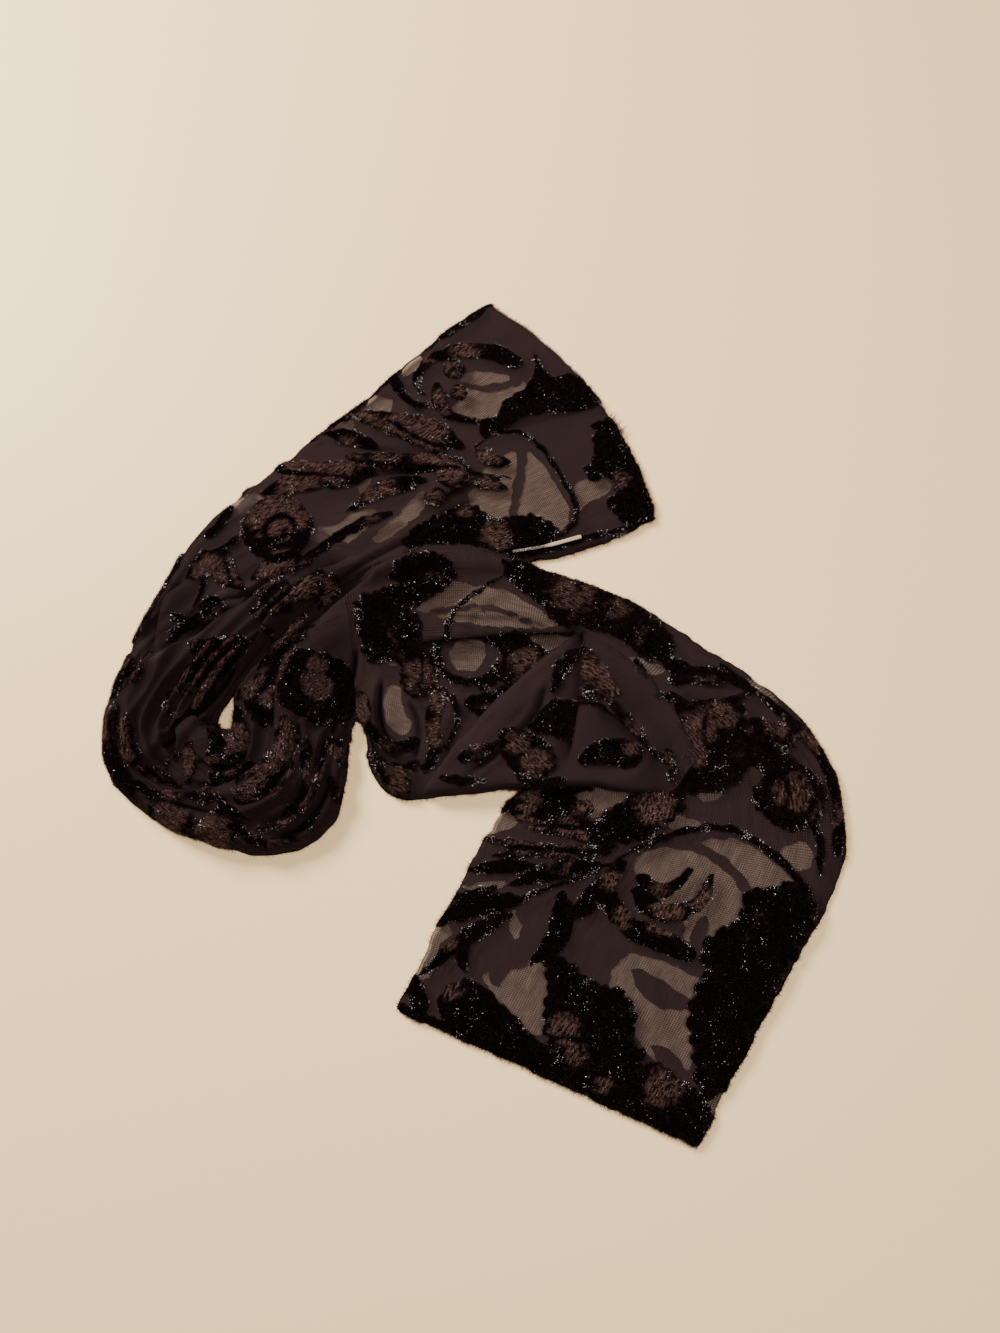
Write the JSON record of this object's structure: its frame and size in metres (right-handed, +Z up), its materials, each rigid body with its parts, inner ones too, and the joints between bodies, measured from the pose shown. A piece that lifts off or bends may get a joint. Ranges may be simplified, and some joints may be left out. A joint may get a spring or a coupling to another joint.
{
  "type": "devore velvet scarf",
  "caption": "Narrow see-through scarf with raised velvet leaf and scroll shapes, dropped flat in a loose S with a small loop and a lapped pleat.",
  "frame": {"origin": "centre of the outline's box, on the surface that the scarf lies on", "axes": "+Z up from the surface; +Y away from the viewer, towards the end that lies furthest; +X to the viewer's right"},
  "size_m": [0.4012, 0.471, 0.0193],
  "materials": {
    "velvet": "sheer brown-black cloth with a raised pile pattern",
    "velvet_back": "smooth back of the same cloth",
    "label_tape": "cream tape, blank"
  },
  "bodies": {
    "root": {"end_a_under": "velvet_back", "end_a_upper": "velvet", "run_upper": "velvet", "run_hidden_folds": "velvet_back", "loop_upper": "velvet", "loop_hidden_folds": "velvet_back", "gather_upper": "velvet", "gather_hidden_folds": "velvet_back", "middle_under": "velvet_back", "middle_upper": "velvet", "turn_under": "velvet_back", "turn_upper": "velvet", "end_b_under": "velvet_back", "end_b_upper": "velvet", "pleat_upper": "velvet", "pleat_hidden_folds": "velvet_back", "label_tape": "label_tape"}
  },
  "joints": []
}
